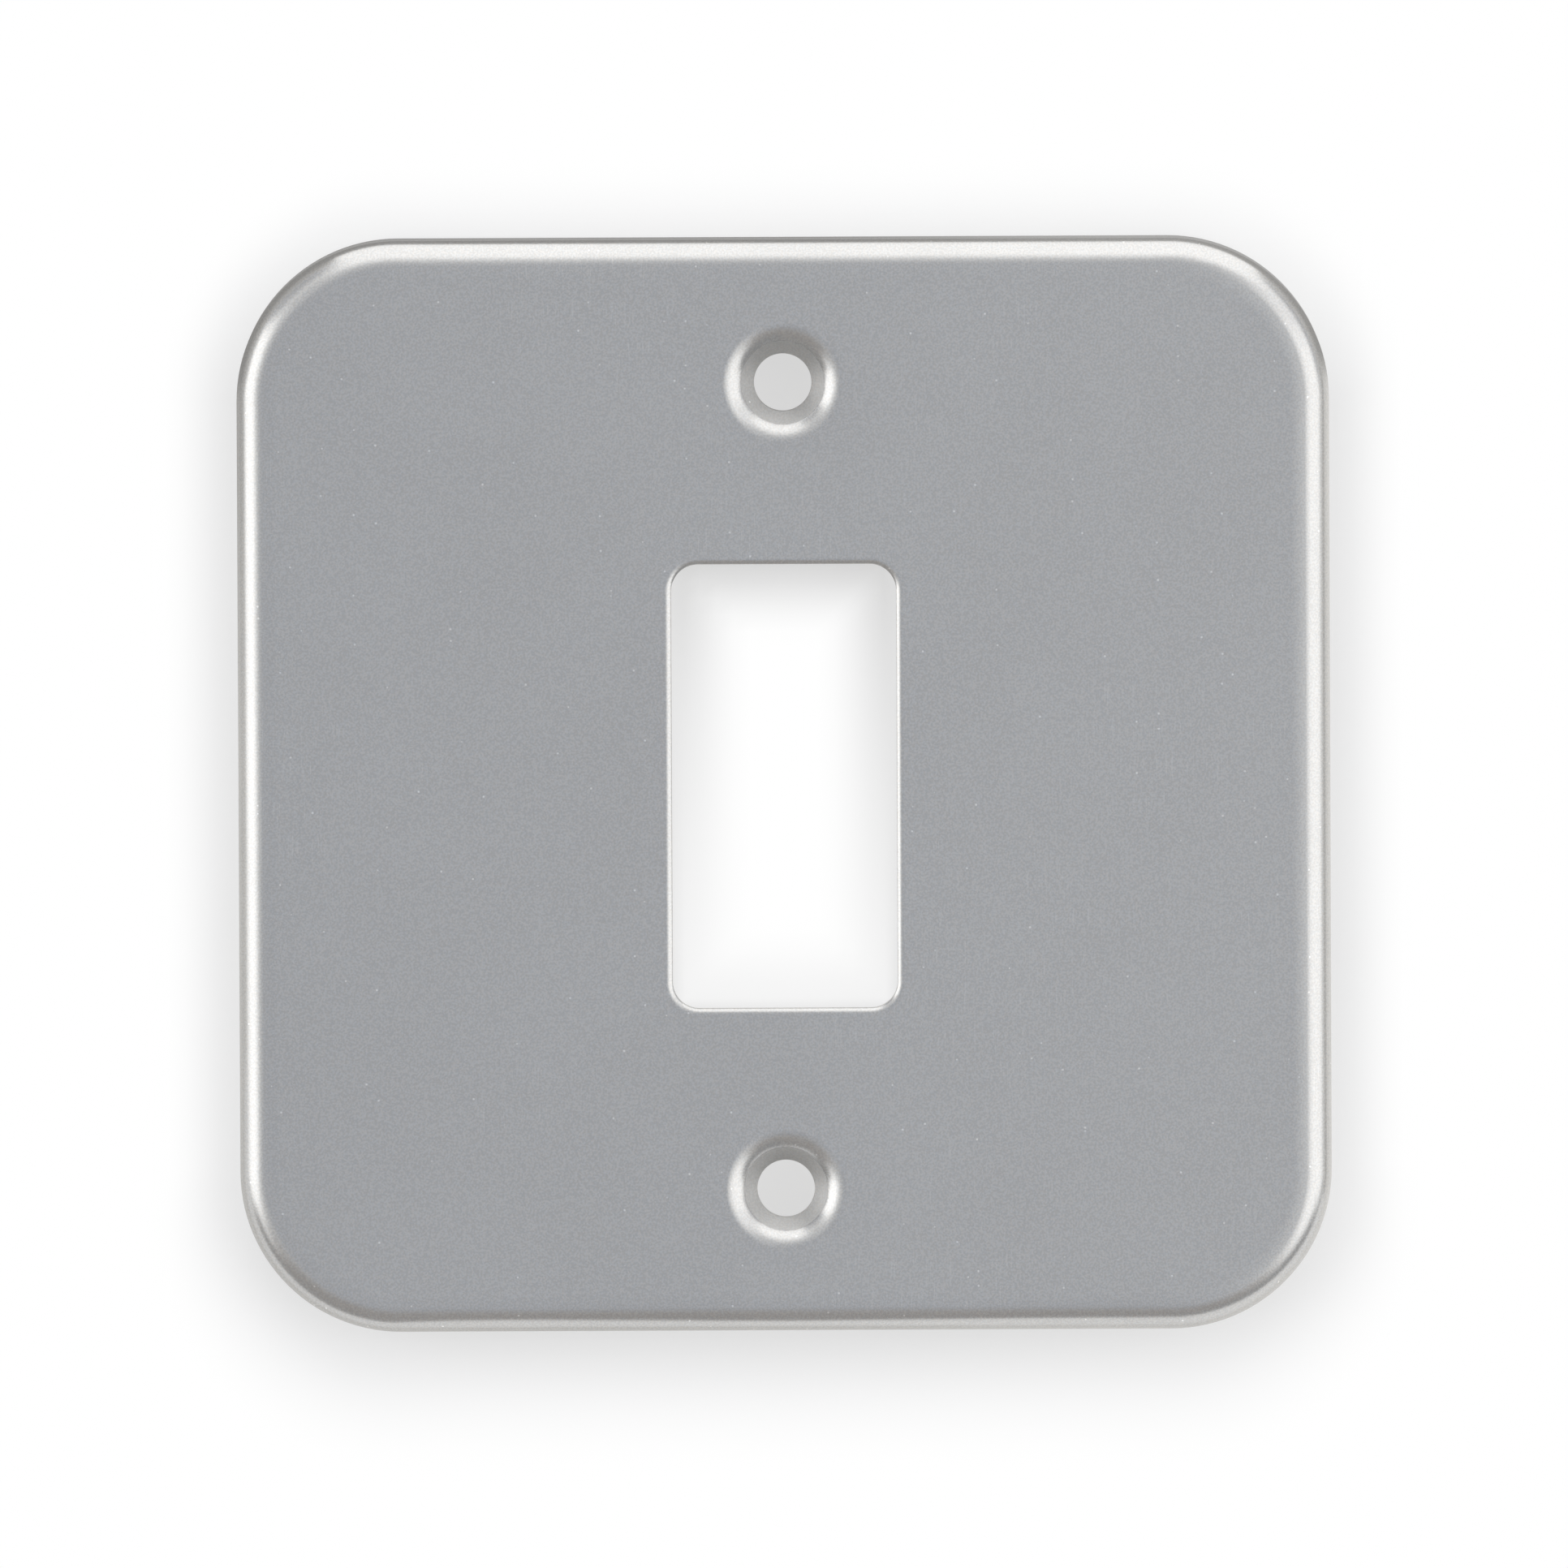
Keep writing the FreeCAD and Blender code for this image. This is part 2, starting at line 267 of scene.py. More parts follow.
outline = rounded_track(HALF_WIDTH, HALF_HEIGHT, CORNER_RADIUS, OUTLINE_CORNER_STEPS, OUTLINE_LONGEST)
outer_bend = bend(-BEND_OUTSIDE, OUTER_CENTRE_HEIGHT, BEND_OUTSIDE, (EASE_TILT, 90), BEND_STEPS)
border = eased(outer_bend[0]) + outer_bend
border += straight(border[-1], 0, RIM + RIM_EDGE, SKIRT_STEPS)
border += bend(-RIM_EDGE, RIM + RIM_EDGE, RIM_EDGE, (90, 180), EDGE_STEPS, SHEARED)[1:]
border += straight(border[-1], RIM_EDGE - SHEET, RIM, 1, SHEARED)
border += bend(RIM_EDGE - SHEET, RIM + RIM_EDGE, RIM_EDGE, (180, 270), EDGE_STEPS, SHEARED)[1:]
border += straight(border[-1], -SHEET, BEND_CENTRE_HEIGHT, SKIRT_STEPS)
border += bend(-BEND_OUTSIDE, BEND_CENTRE_HEIGHT, BEND_INSIDE, (270, 180), INNER_BEND_STEPS,
               hollow=True)[1:]
border_front, border_back = sweep(skin, outline, border)
print("border:", len(border), "stations round", len(outline), "places")

# %% [markdown]
# ## The opening for the switch module
#
# A punch drags the sheet down a little before it breaks through. So the front edge of
# a punched opening is rolled over: the sheet leans very little at first, then more and
# more, and meets the cut wall at about 45 degrees. A plain quarter round would be
# easier, but its steep half would draw a grey line inside the bright one that the
# photograph shows. So the tilt of each station grows with a power of the way it has
# gone, and its height follows from the tilts before it. The back edge is left nearly
# sharp, with a very small round on it.

# %% Aperture
OPENING_CORNER_STEPS = 14
OPENING_LONGEST = 1.7 * MM
WALL_STEPS = 2
ROLL_TILT = 45.0
ROLL_POWER = 1.5
ROLL_STEPS = 12


def rolled_over(width):
    """Stations from the flat face towards the cut wall, leaning faster and faster."""
    stride = width / ROLL_STEPS
    stations = [Station(APERTURE_EDGE, FACE, 0, SATIN)]
    for step in range(1, ROLL_STEPS + 1):
        last = stations[-1]
        tilt = -ROLL_TILT * (step / ROLL_STEPS) ** ROLL_POWER
        height = last.height + stride * math.tan(math.radians((last.tilt + tilt) / 2))
        stations.append(Station(last.out - stride, height, tilt, SATIN))
    return stations


opening = rounded_track(APERTURE_WIDTH / 2, APERTURE_HEIGHT / 2, APERTURE_CORNER,
                        OPENING_CORNER_STEPS, OPENING_LONGEST)
roll_slope = math.radians(ROLL_TILT)
punched = rolled_over(APERTURE_EDGE - SHEARED_EDGE * (1 - math.sin(roll_slope)))
cut_centre = punched[-1].height - SHEARED_EDGE * math.cos(roll_slope)
back_height = BACK_OF_FACE + SHEARED_EDGE
punched += bend(SHEARED_EDGE, cut_centre, SHEARED_EDGE, (-ROLL_TILT, -90), EDGE_STEPS)[1:]
punched += straight(punched[-1], 0, back_height, WALL_STEPS, SHEARED)
punched += bend(SHEARED_EDGE, back_height, SHEARED_EDGE, (-90, -180), EDGE_STEPS, SHEARED)[1:]
opening_front, opening_back = sweep(skin, opening, punched)
print("aperture:", len(punched), "stations round", len(opening), "places, rolled over",
      round((FACE - cut_centre) / MM, 2), "mm deep")

# %% [markdown]
# ## Countersinks
#
# Each screw hole stands at the bottom of a pressed dimple. From the face, the section
# goes over a round shoulder and down a 45 degree cone that the screw head seats on.
# Behind the sheet it comes back along the same path, one sheet deeper. All its places
# follow from the hole outwards: a narrow land, the cone and then the shoulder, whose
# radius is the same as that of the plate's bend. The punch for the hole drags the
# land down with it, so the cone runs on over it, straight to the hole's rolled edge.

# %% Section of a countersink
SHOULDER_STEPS = 16
HOLE_EDGE_STEPS = 4
SEAT_BACK_STEPS = 6
SHOULDER_BACK_STEPS = 8
slope = math.radians(CONE_TILT)
land_radius = HOLE_RADIUS + HOLE_EDGE + LAND_WIDTH
cone_radius = land_radius + CONE_WIDTH
mouth_radius = cone_radius + BEND_OUTSIDE * math.sin(slope)
cone_height = BEND_CENTRE_HEIGHT + BEND_OUTSIDE * math.cos(slope)
land_height = cone_height - CONE_WIDTH * math.tan(slope)
hole_back = land_height - SHEET + SHEARED_EDGE
roll_start = HOLE_RADIUS + HOLE_EDGE * (1 - math.sin(slope))
cone_end_height = cone_height - (cone_radius - roll_start) * math.tan(slope)
roll_centre_height = cone_end_height - HOLE_EDGE * math.cos(slope)

dimple = bend(mouth_radius, BEND_CENTRE_HEIGHT, BEND_OUTSIDE, (0, -CONE_TILT), SHOULDER_STEPS)
dimple += bend(HOLE_RADIUS + HOLE_EDGE, roll_centre_height, HOLE_EDGE, (-CONE_TILT, -90),
               HOLE_EDGE_STEPS, RUBBED)
dimple += straight(dimple[-1], HOLE_RADIUS, hole_back, WALL_STEPS, SHEARED)
dimple += bend(HOLE_RADIUS + SHEARED_EDGE, hole_back, SHEARED_EDGE, (-90, -180), EDGE_STEPS, SHEARED)[1:]
dimple += bend(land_radius, land_height, SHEET, (-180, -180 - CONE_TILT), SEAT_BACK_STEPS)
dimple += bend(mouth_radius, BEND_CENTRE_HEIGHT, BEND_INSIDE, (-180 - CONE_TILT, -180),
               SHOULDER_BACK_STEPS, hollow=True)

# %% Both countersinks
DIMPLE_PLACES = 96
mouths = []
for side in (1, -1):
    round_hole = round_track(0, side * HOLE_PITCH / 2, DIMPLE_PLACES)
    mouths.append(sweep(skin, round_hole, dimple))
print("countersink:", round(mouth_radius / MM, 2), "mm in radius,",
      round((FACE - land_height) / MM, 2), "mm deep")

# %% [markdown]
# ## Flat face and back
#
# The face and its back are flat sheets with the three openings in them. One large
# many-sided face can't have holes, and joining the rings by hand leaves long slivers.
# A Delaunay triangulation between the rings, over an even grid of points, gives clean
# triangles of about one size. Triangles that lie inside an opening have all their
# corners on that opening's ring, so that is how they are left out.

# %% Fill between the rings
GRID = 2.4 * MM
GRID_ANGLE = 60
CLEAR = 0.9 * MM
# The triangulation's number for keeping only what lies inside the outer ring
ONLY_INSIDE = 1
SAME_PLACE = GRID / 1e4


def far_enough(point, ring_points):
    return all((point - other).length > CLEAR for other in ring_points)


def grid_points(edge_points):
    """Staggered rows of points inside the bends, clear of all the rings."""
    points = []
    row_gap = GRID * math.sin(math.radians(GRID_ANGLE))
    rows = int(HALF_HEIGHT / row_gap)
    columns = int(HALF_WIDTH / GRID)
    inner_x = HALF_WIDTH - CORNER_RADIUS
    inner_y = HALF_HEIGHT - CORNER_RADIUS
    reach = CORNER_RADIUS + border[0].out
    for row in range(-rows, rows + 1):
        stagger = GRID / 2 if row % 2 else 0
        for column in range(-columns, columns + 1):
            point = Vector((column * GRID + stagger, row * row_gap))
            past = Vector((max(0, abs(point.x) - inner_x), max(0, abs(point.y) - inner_y)))
            if past.length < reach and far_enough(point, edge_points):
                points.append(point)
    return points


def in_opening(point):
    """Whether a point lies in the aperture or in the mouth of a countersink."""
    aside = abs(point.x) - APERTURE_WIDTH / 2
    along = abs(point.y) - APERTURE_HEIGHT / 2
    if max(aside, along) < APERTURE_EDGE:
        return True
    return Vector((point.x, abs(point.y) - HOLE_PITCH / 2)).length < dimple[0].out


def fill_flat(skin, outer, openings, upward):
    """Triangles between the outer ring and the rings of the openings."""
    rings = [outer] + openings
    numbers = [number for ring in rings for number in ring]
    height = skin.points[numbers[0]][2]
    points = [Vector(skin.points[number][:2]) for number in numbers]
    edges = []
    for ring in rings:
        first = numbers.index(ring[0])
        count = len(ring)
        edges += [(first + step, first + (step + 1) % count) for step in range(count)]
    inside = [point for point in grid_points(points) if not in_opening(point)]
    numbers += [skin.add_point((point.x, point.y, height), (0, 0, upward)) for point in inside]
    found = delaunay_2d_cdt(points + inside, edges, [], ONLY_INSIDE, SAME_PLACE)
    triangles, sources = found[2], found[3]
    ring_of = {number: place for place, ring in enumerate(openings) for number in ring}
    for triangle in triangles:
        own = [numbers[sources[corner][0]] for corner in triangle]
        places = {ring_of.get(number) for number in own}
        if len(places) > 1 or None in places:
            skin.add_face(tuple(own), SATIN)
    return len(inside)


front_openings = [opening_front] + [front for front, back in mouths]
back_openings = [opening_back] + [back for front, back in mouths]
front_grid = fill_flat(skin, border_front, front_openings, 1)
back_grid = fill_flat(skin, border_back, back_openings, -1)
print("grid points:", front_grid, "in the face and", back_grid, "in its back")

# %% [markdown]
# ## One mesh object
#
# The skin becomes a mesh. Its faces are turned to look outwards, its normals are set
# to the exact ones, and two checks say whether it is one closed piece of sheet metal:
# every edge has two faces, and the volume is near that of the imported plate. Then the
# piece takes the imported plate's place in the picture, and rides on its body.

# %% Mesh of the plate
WELD = MM / 1000


def mesh_volume(mesh):
    """Volume of a mesh in cubic millimetres, and how many of its edges are open."""
    shape = bmesh.new()
    shape.from_mesh(mesh)
    bmesh.ops.remove_doubles(shape, verts=shape.verts, dist=WELD)
    open_edges = sum(len(edge.link_faces) != 2 for edge in shape.edges)
    volume = shape.calc_volume() / MM**3
    shape.free()
    return volume, open_edges


def make_plate(skin):
    """The mesh object, with its faces outwards and its normals as the sections say."""
    mesh = bpy.data.meshes.new("pressed_plate")
    mesh.from_pydata(skin.points, [], skin.faces)
    shape = bmesh.new()
    shape.from_mesh(mesh)
    bmesh.ops.recalc_face_normals(shape, faces=shape.faces)
    shape.to_mesh(mesh)
    shape.free()
    mesh.polygons.foreach_set("material_index", skin.finishes)
    mesh.shade_smooth()
    mesh.normals_split_custom_set_from_vertices(skin.normals)
    mesh.update()
    plate = bpy.data.objects.new("pressed_plate", mesh)
    bpy.context.collection.objects.link(plate)
    return plate


plate = make_plate(skin)
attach(plate, "root")
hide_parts("grid_plate")
volume, open_edges = mesh_volume(plate.data)
packed_volume = mesh_volume(frame["nodes"]["grid_plate"].data)[0]
print("pressed plate:", len(plate.data.polygons), "faces,", open_edges, "open edges,",
      round(volume, 1), "mm3 beside", round(packed_volume, 1), "mm3 packed")

# %% [markdown]
# ## Node helpers
#
# Materials are built from nodes in code, so a few helpers keep that readable. One adds
# a node and fills its inputs by name, and another starts an effect as a node group.
# A group has named inputs and outputs, is built once, and each material that places
# it gives it its own values.

# %% Helpers for nodes
def add_node(tree, kind, inputs=None, **settings):
    """A new node with its settings, and its inputs given by name or by number."""
    node = tree.nodes.new(kind)
    for name, value in settings.items():
        setattr(node, name, value)
    for name, value in (inputs or {}).items():
        if isinstance(value, bpy.types.NodeSocket):
            tree.links.new(value, node.inputs[name])
        else:
            node.inputs[name].default_value = value
    return node


def maths(tree, operation, *values):
    """The result of one sum on values or sockets."""
    node = add_node(tree, "ShaderNodeMath", dict(enumerate(values)), operation=operation)
    return node.outputs["Value"]


def ramp(tree, value, low, high, to_low=0.0, to_high=1.0):
    """Take a value's range from low to high over smoothly to another range."""
    sizes = {"Value": value, "From Min": low, "From Max": high, "To Min": to_low, "To Max": to_high}
    node = add_node(tree, "ShaderNodeMapRange", sizes, interpolation_type="SMOOTHSTEP")
    return node.outputs["Result"]


def new_group(name, inputs, outputs):
    """An empty node group with number inputs and outputs, and its two end nodes."""
    group = bpy.data.node_groups.new(name, "ShaderNodeTree")
    for socket, value in inputs.items():
        made = group.interface.new_socket(socket, in_out="INPUT", socket_type="NodeSocketFloat")
        made.default_value = value
    for socket in outputs:
        group.interface.new_socket(socket, in_out="OUTPUT", socket_type="NodeSocketFloat")
    given = group.nodes.new("NodeGroupInput").outputs
    results = group.nodes.new("NodeGroupOutput").inputs
    return group, given, results


def object_place(tree):
    return add_node(tree, "ShaderNodeTexCoord").outputs["Object"]


def puts_out(group):
    """What a group puts out, by name."""
    return [item.name for item in group.interface.items_tree if item.in_out == "OUTPUT"]


# %% [markdown]
# ## Grain
#
# Satin steel is not smooth: close up, the face is covered in grains about a fifth of a
# millimetre across, and each one leans its own way. A photograph shows them as a fine
# even speckle, with a trace of colour in it: some grains are a little warmer than
# others. Noise in three directions has no seams at the bends, which a flat pattern
# would have, so the group reads the place on the object. It puts out a tone and a
# warmth for the colour and a height for the bump, and all three finishes use it.

# %% Group: grain
GRAIN_SIZE = 0.15 * MM
# Noise runs from 0 to 1, and nearly all of it lies between these two values
NOISE_LOW = 0.3
NOISE_HIGH = 0.7


def make_grain():
    group, given, results = new_group("Grain", {"Grain Size": GRAIN_SIZE}, ["Tone", "Warmth", "Height"])
    scale = maths(group, "DIVIDE", 1.0, given["Grain Size"])
    grains = add_node(group, "ShaderNodeTexNoise",
                      {"Vector": object_place(group), "Scale": scale, "Detail": 1.0, "Roughness": 0.4})
    group.links.new(ramp(group, grains.outputs["Fac"], NOISE_LOW, NOISE_HIGH), results["Tone"])
    parts = add_node(group, "ShaderNodeSeparateColor", {"Color": grains.outputs["Color"]})
    group.links.new(ramp(group, parts.outputs["Blue"], NOISE_LOW, NOISE_HIGH), results["Warmth"])
    group.links.new(grains.outputs["Fac"], results["Height"])
    return group


grain = make_grain()
print("grain:", puts_out(grain))

# %% [markdown]
# ## Clouds
#
# Rolled and pressed steel is never quite even. Broad soft patches, some millimetres
# across, are a little lighter or duller than the rest, where oil, heat or the rolls
# left their mark. A noise with several sizes of detail in it looks less regular than
# a plain one.

# %% Group: clouds
CLOUD_SIZE = 11 * MM


def make_clouds():
    group, given, results = new_group("Clouds", {"Cloud Size": CLOUD_SIZE}, ["Tone"])
    scale = maths(group, "DIVIDE", 1.0, given["Cloud Size"])
    noise = add_node(group, "ShaderNodeTexNoise",
                     {"Vector": object_place(group), "Scale": scale, "Detail": 4.0,
                      "Roughness": 0.55, "Distortion": 0.4})
    group.links.new(ramp(group, noise.outputs["Fac"], NOISE_LOW, NOISE_HIGH), results["Tone"])
    return group


clouds = make_clouds()
print("clouds:", puts_out(clouds))

# %% [markdown]
# ## Handling marks, dust and painted glints
#
# Two kinds of small marks show on the face of a new plate. Specks are tiny bright
# points in the colour: partly dust, partly painted glints where a grain would catch the
# light. Hairlines are fine upright scratches from handling, and they come in loose
# patches. Specks are the cells of a Voronoi pattern of which only a few are let
# through. Hairlines are noise that is stretched along the plate, cut off so high that
# only thin lines are left.

# %% Group: marks
SPECK_SPACING = 0.8 * MM
SPECK_SIZE = 0.08 * MM
EMPTY_CELLS = 0.85
HAIRLINE_WIDTH = 0.1 * MM
HAIRLINE_STRETCH = 0.035
HAIRLINE_CUT = (0.68, 0.74)
PATCH_SCALE = 0.07 / MM
PATCH_CUT = (0.52, 0.68)


def make_marks():
    group, given, results = new_group(
        "Marks",
        {"Speck Spacing": SPECK_SPACING, "Speck Size": SPECK_SIZE, "Hairline Width": HAIRLINE_WIDTH},
        ["Specks", "Hairlines"],
    )
    place = object_place(group)
    spacing = maths(group, "DIVIDE", 1.0, given["Speck Spacing"])
    cells = add_node(group, "ShaderNodeTexVoronoi", {"Vector": place, "Scale": spacing})
    reach = maths(group, "MULTIPLY", given["Speck Size"], spacing)
    dot = maths(group, "LESS_THAN", cells.outputs["Distance"], reach)
    lucky = add_node(group, "ShaderNodeSeparateColor", {"Color": cells.outputs["Color"]})
    few = maths(group, "GREATER_THAN", lucky.outputs["Red"], EMPTY_CELLS)
    group.links.new(maths(group, "MULTIPLY", dot, few), results["Specks"])

    across = maths(group, "DIVIDE", 1.0, given["Hairline Width"])
    along = maths(group, "MULTIPLY", across, HAIRLINE_STRETCH)
    stretch = add_node(group, "ShaderNodeCombineXYZ", {"X": across, "Y": along, "Z": across})
    drawn = add_node(group, "ShaderNodeVectorMath", {0: place, 1: stretch.outputs["Vector"]},
                     operation="MULTIPLY")
    lines = add_node(group, "ShaderNodeTexNoise",
                     {"Vector": drawn.outputs["Vector"], "Scale": 1.0, "Detail": 0.0})
    patches = add_node(group, "ShaderNodeTexNoise", {"Vector": place, "Scale": PATCH_SCALE, "Detail": 1.0})
    thin = ramp(group, lines.outputs["Fac"], *HAIRLINE_CUT)
    patch = ramp(group, patches.outputs["Fac"], *PATCH_CUT)
    group.links.new(maths(group, "MULTIPLY", thin, patch), results["Hairlines"])
    return group


marks = make_marks()
print("marks:", puts_out(marks))

# %% [markdown]
# ## Satin steel
#
# Bare satin steel is one metal all over, so Metallic is 1 and the colour is its own
# reflection: a light neutral grey. What makes it satin is a middling roughness with
# grain in it. Clouds and grain move both the colour and the roughness by a few parts
# in a hundred, because a change in colour alone would look painted on. The grain's
# height goes through a Bump node, and it makes the edges of the highlights slightly
# ragged, as they are on the real plate.
#
# An ideal metal turns into a clear mirror where it is seen at a flat angle, and the
# face would go white in low side views. Steel with a grain doesn't. Specular Tint is
# the colour of that flat reflection, and a grey there holds it back.
#
# On the cones of the countersinks the punch has dulled the metal, and each screw head
# dulls it again. That is the same steel with twice the roughness, so one function
# makes both finishes.

# %% Steel in its own colour
STEEL = 0.575
STEEL_TINT = (1.008, 1.0, 0.984)
GRAIN_TINT = 0.012
GRAZING_TINT = (0.65, 0.65, 0.65, 1.0)


def new_material(name):
    """A bare metal, with its tree of nodes and its shader."""
    material = bpy.data.materials.new(name)
    material.use_nodes = True
    shader = material.node_tree.nodes["Principled BSDF"]
    shader.inputs["Metallic"].default_value = 1.0
    shader.inputs["Specular Tint"].default_value = GRAZING_TINT
    return material, material.node_tree, shader


def place_group(tree, group, **values):
    """An effect placed in a material, with the material's own values for it."""
    node = add_node(tree, "ShaderNodeGroup", node_tree=group)
    for name, value in values.items():
        node.inputs[name.replace("_", " ")].default_value = value
    return node.outputs


def steel_colour(tree, tone, warmth):
    """A grey of this tone in the steel's own tint, a little warmer or cooler by the warmth."""
    red_share = ramp(tree, warmth, 0.0, 1.0, STEEL_TINT[0] - GRAIN_TINT, STEEL_TINT[0] + GRAIN_TINT)
    blue_share = ramp(tree, warmth, 0.0, 1.0, STEEL_TINT[2] + GRAIN_TINT, STEEL_TINT[2] - GRAIN_TINT)
    parts = {"Red": maths(tree, "MULTIPLY", tone, red_share), "Green": tone,
             "Blue": maths(tree, "MULTIPLY", tone, blue_share)}
    return add_node(tree, "ShaderNodeCombineColor", parts).outputs["Color"]


def bump(tree, height, distance):
    sizes = {"Height": height, "Distance": distance, "Strength": 1.0}
    return add_node(tree, "ShaderNodeBump", sizes).outputs["Normal"]


# %% Material: satin and rubbed steel
SATIN_ROUGHNESS = 0.25
RUBBED_ROUGHNESS = 0.5
GRAIN_TONE = 0.028
GRAIN_ROUGHNESS = 0.006
GRAIN_HEIGHT = 0.003 * MM
CLOUD_TONE = 0.008
CLOUD_ROUGHNESS = 0.004
SPECK_DUST_AND_GLINT = 0.24
HAIRLINE_LIGHT = 0.04


def swing(tree, value, amount):
    """Take a range from 0 to 1 over to as much below nothing as above it."""
    return ramp(tree, value, 0.0, 1.0, -amount, amount)


def make_rolled_steel(name, roughness):
    """Steel with the rolled surface of the sheet, as bright or as dull as its roughness says."""
    material, tree, shader = new_material(name)
    grains = place_group(tree, grain, Grain_Size=GRAIN_SIZE)
    cloud = place_group(tree, clouds, Cloud_Size=CLOUD_SIZE)
    mark = place_group(tree, marks, Speck_Spacing=SPECK_SPACING, Speck_Size=SPECK_SIZE,
                       Hairline_Width=HAIRLINE_WIDTH)
    grain_tone = swing(tree, grains["Tone"], GRAIN_TONE)
    cloud_tone = swing(tree, cloud["Tone"], CLOUD_TONE)
    tone = maths(tree, "ADD", maths(tree, "ADD", grain_tone, cloud_tone), STEEL)
    # Specks: partly dust, partly painted glints, as lighter points in the colour
    specks = maths(tree, "MULTIPLY", mark["Specks"], SPECK_DUST_AND_GLINT)
    hairlines = maths(tree, "MULTIPLY", mark["Hairlines"], HAIRLINE_LIGHT)
    tone = maths(tree, "ADD", tone, maths(tree, "ADD", specks, hairlines))
    tree.links.new(steel_colour(tree, tone, grains["Warmth"]), shader.inputs["Base Color"])

    rough = ramp(tree, cloud["Tone"], 0.0, 1.0, roughness + CLOUD_ROUGHNESS, roughness - CLOUD_ROUGHNESS)
    rough = maths(tree, "ADD", rough, swing(tree, grains["Tone"], GRAIN_ROUGHNESS))
    tree.links.new(rough, shader.inputs["Roughness"])
    tree.links.new(bump(tree, grains["Height"], GRAIN_HEIGHT), shader.inputs["Normal"])
    return material


satin_steel = make_rolled_steel("satin_steel", SATIN_ROUGHNESS)
rubbed_steel = make_rolled_steel("rubbed_steel", RUBBED_ROUGHNESS)
print("rolled finishes:", satin_steel.name, "and", rubbed_steel.name)

# %% [markdown]
# ## Sheared steel
#
# The punch and the trimming tool leave cut metal on the walls of the openings and on
# the rim. Cut metal is a little rougher than the rolled face, with fine scores that run
# the way the tool went, straight through the sheet. Its colour has the same grain, and
# a noise pulled out upwards makes the scores.

# %% Material: sheared steel
CUT_GRAIN_SIZE = 0.1 * MM
CUT_GRAIN_TONE = 0.02
SCORE_SCALES = (9 / MM, 9 / MM, 0.5 / MM)
SCORE_TONE = 0.06
SCORE_HEIGHT = 0.012 * MM
DULL_CUT = 0.42
CLEAN_CUT = 0.3


def make_sheared_steel():
    """Cut metal, with scores that run through the sheet."""
    material, tree, shader = new_material("sheared_steel")
    grains = place_group(tree, grain, Grain_Size=CUT_GRAIN_SIZE)
    stretch = add_node(tree, "ShaderNodeVectorMath", {0: object_place(tree), 1: SCORE_SCALES},
                       operation="MULTIPLY")
    scores = add_node(tree, "ShaderNodeTexNoise",
                      {"Vector": stretch.outputs["Vector"], "Scale": 1.0, "Detail": 2.0})
    score = scores.outputs["Fac"]
    tone = ramp(tree, score, NOISE_LOW, NOISE_HIGH, STEEL - SCORE_TONE, STEEL)
    tone = maths(tree, "ADD", tone, swing(tree, grains["Tone"], CUT_GRAIN_TONE))
    tree.links.new(steel_colour(tree, tone, grains["Warmth"]), shader.inputs["Base Color"])
    rough = ramp(tree, score, NOISE_LOW, NOISE_HIGH, DULL_CUT, CLEAN_CUT)
    tree.links.new(rough, shader.inputs["Roughness"])
    tree.links.new(bump(tree, score, SCORE_HEIGHT), shader.inputs["Normal"])
    return material


sheared_steel = make_sheared_steel()
for material in (satin_steel, sheared_steel, rubbed_steel):
    plate.data.materials.append(material)
print("finishes:", [material.name for material in plate.data.materials])

# %% [markdown]
# ## Glowing stage pieces
#
# Metal has almost no look of its own: it shows what stands round it. So the studio is
# made of surfaces that glow, and how much they glow is worked out point by point, as
# a painter would tone a backdrop. The tones are stored in the mesh as a colour at each
# of its points, and the material reads them with an Attribute node. That is quicker to
# render than many lamps, and it gives soft changes without any seams.

# %% Helpers for tones
def rise(distance, width):
    """0 before an edge and 1 once past the width of its fade, smoothly."""
    share = min(max(distance / width, 0.0), 1.0)
    return share * share * (3 - 2 * share)


def between(low, high, share):
    return low + (high - low) * share


def steps_between(low, high, count):
    return [between(low, high, number / count) for number in range(count + 1)]


def grid_faces(rows, columns):
    """Four-sided faces over points that are stored row by row."""
    faces = []
    for row in range(rows - 1):
        for column in range(columns - 1):
            first = row * columns + column
            faces.append((first, first + 1, first + columns + 1, first + columns))
    return faces


def stage_piece(name, points, faces, colours, material):
    """A mesh of the stage, with a colour layer for each named list of colours."""
    mesh = bpy.data.meshes.new(name)
    mesh.from_pydata(points, [], faces)
    for layer, values in colours.items():
        flat = [part for value in values for part in (*value, 1.0)]
        mesh.attributes.new(layer, "FLOAT_COLOR", "POINT").data.foreach_set("color", flat)
    mesh.materials.append(material)
    piece = bpy.data.objects.new(name, mesh)
    bpy.context.collection.objects.link(piece)
    return piece


def plain_tree(name):
    """A material without its usual shader, and the input that its new one feeds."""
    material = bpy.data.materials.new(name)
    material.use_nodes = True
    tree = material.node_tree
    tree.nodes.remove(tree.nodes["Principled BSDF"])
    # Every ray that leaves the plate ends on a glowing surface, so none needs aiming at one
    material.cycles.emission_sampling = "NONE"
    return material, tree, tree.nodes["Material Output"].inputs["Surface"]


def layer_colour(tree, layer):
    return add_node(tree, "ShaderNodeAttribute", attribute_name=layer).outputs["Color"]


# %% [markdown]
# ## Floor
#
# The plate lies on a plain white floor that runs on into a white background. Close to
# the plate and inside its opening the floor is half matt, so that it takes the plate's
# soft shadow, and it fades to full white within a few millimetres. The shadow reaches
# furthest in front of the plate, where the dark card of the tent stands. From below
# the floor is clear, which lets a camera look at the back of the plate.

